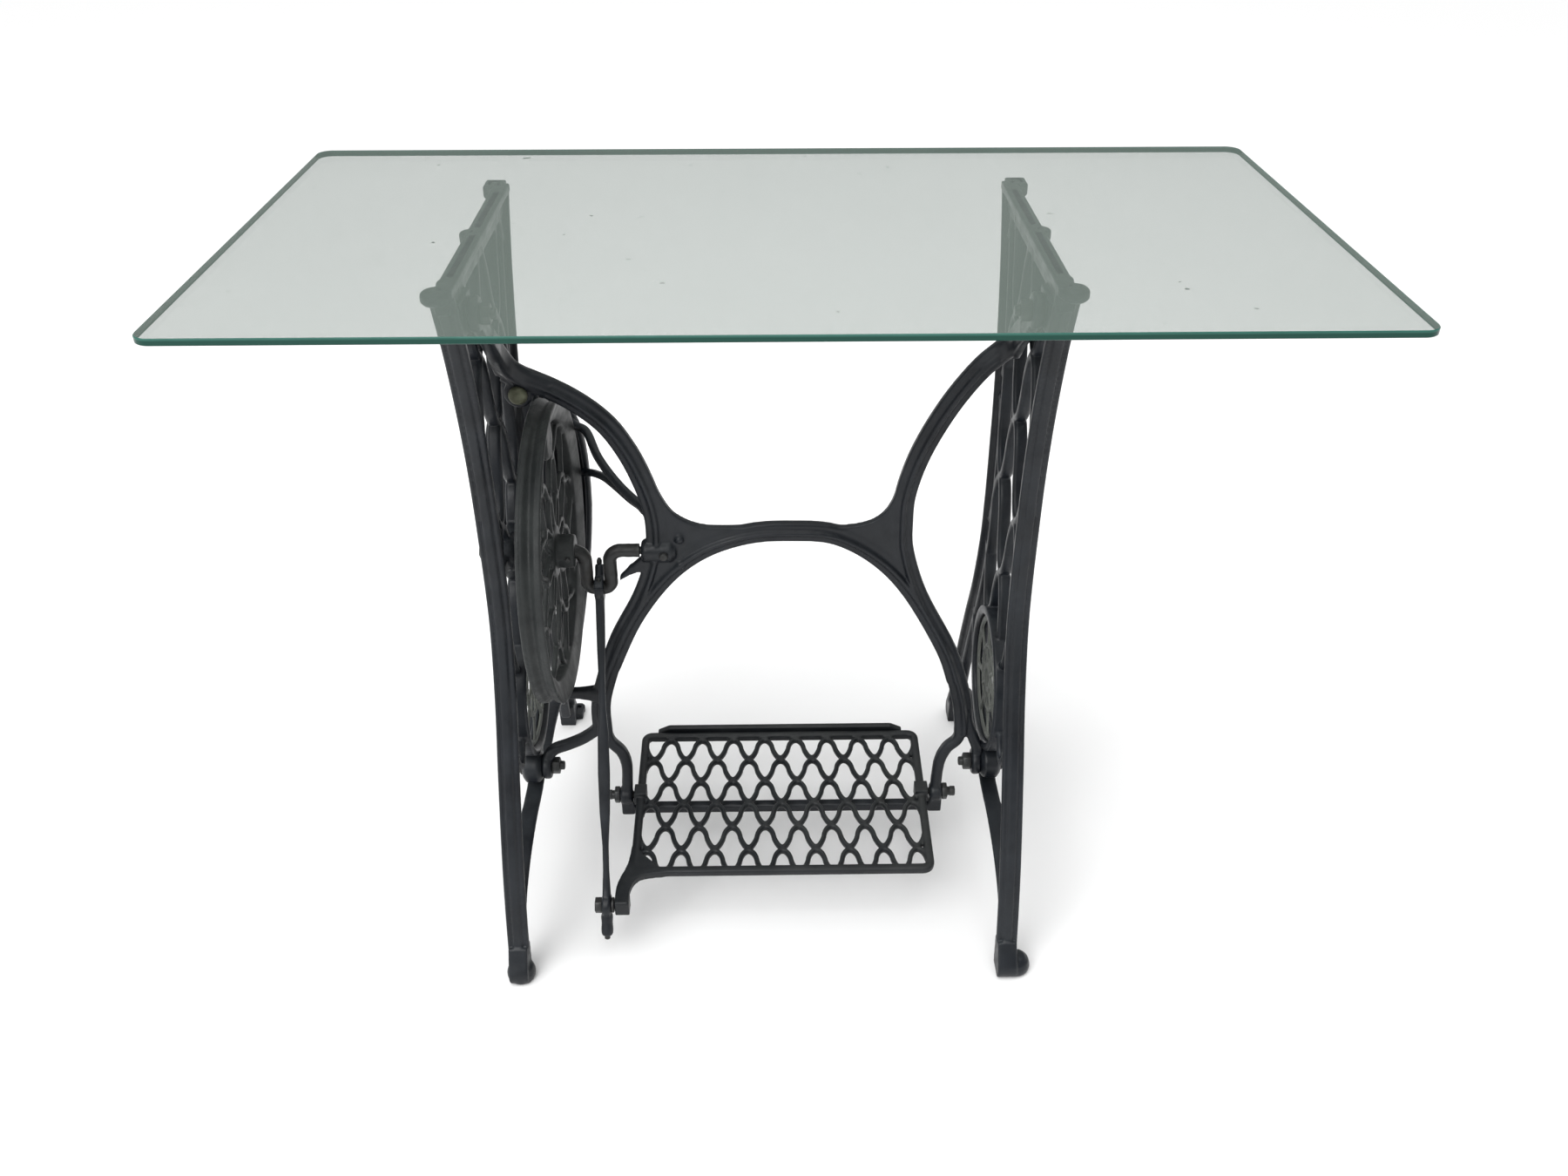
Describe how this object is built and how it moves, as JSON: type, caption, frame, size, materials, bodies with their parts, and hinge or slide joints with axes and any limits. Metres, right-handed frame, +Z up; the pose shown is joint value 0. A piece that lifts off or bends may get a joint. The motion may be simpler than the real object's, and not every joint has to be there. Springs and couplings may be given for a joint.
{
  "type": "treadle sewing machine",
  "caption": "Cast iron treadle sewing machine stand used as a table: glass top, lattice side frames, flywheel with crank, pitman rod and rocking foot treadle.",
  "frame": {"origin": "on the floor, under the centre of the glass top", "axes": "+X to the right, towards the frame without the flywheel; +Y away from the user; +Z up"},
  "size_m": [0.966, 0.517, 0.735],
  "materials": {
    "tinted_glass": "polished",
    "black_iron": "satin enamel, dusty",
    "wheel_iron": "satin, dusty and worn",
    "grey_badge": "weathered grey-green",
    "dark_steel": "oxidised",
    "aged_bolts": "tarnished green"
  },
  "bodies": {
    "stand": {"glass_top": "tinted_glass", "side_frame_left": "black_iron", "side_frame_right": "black_iron", "badge_left": "grey_badge", "badge_right": "grey_badge", "cross_brace": "black_iron", "brace_upper_bolts": "dark_steel", "brace_upper_nuts": "dark_steel", "brace_lower_bolts": "dark_steel", "brace_lower_nuts": "dark_steel", "wheel_bearing_screw": "dark_steel", "wheel_bearing_locknut": "dark_steel", "crank_pivot_screw": "dark_steel", "crank_set_screw": "dark_steel", "treadle_pivot_screws": "dark_steel", "treadle_pivot_locknuts": "dark_steel", "dress_guard": "black_iron", "guard_stay": "black_iron", "guard_hook": "black_iron", "guard_bolts": "aged_bolts"},
    "flywheel": {"flywheel": "wheel_iron", "crankshaft": "dark_steel", "wheel_taper_pin": "dark_steel"},
    "pitman": {"pitman_rod": "black_iron", "pitman_cap": "black_iron", "pitman_cap_screws": "dark_steel", "pitman_oil_nipples": "dark_steel", "pitman_pin": "dark_steel", "pitman_pin_nut": "dark_steel"},
    "treadle": {"treadle_plate": "black_iron", "treadle_back_lip": "black_iron"}
  },
  "joints": [
    {"name": "wheel_spin", "type": "hinge", "parent": "stand", "child": "flywheel", "pos_m": [-0.233, -0.02, 0.41], "axis": [1, 0, 0], "continuous": true},
    {"name": "pitman_swing", "type": "hinge", "parent": "flywheel", "child": "pitman", "pos_m": [-0.19, -0.02, 0.366], "axis": [1, 0, 0], "continuous": true},
    {"name": "treadle_rock", "type": "hinge", "parent": "stand", "child": "treadle", "pos_m": [0, -0.02, 0.087], "axis": [-1, 0, 0], "range_deg": [-1, 34]}
  ],
  "couplings": [
    {"joint": "pitman_swing", "follows": "wheel_spin", "ratio": -1}
  ]
}
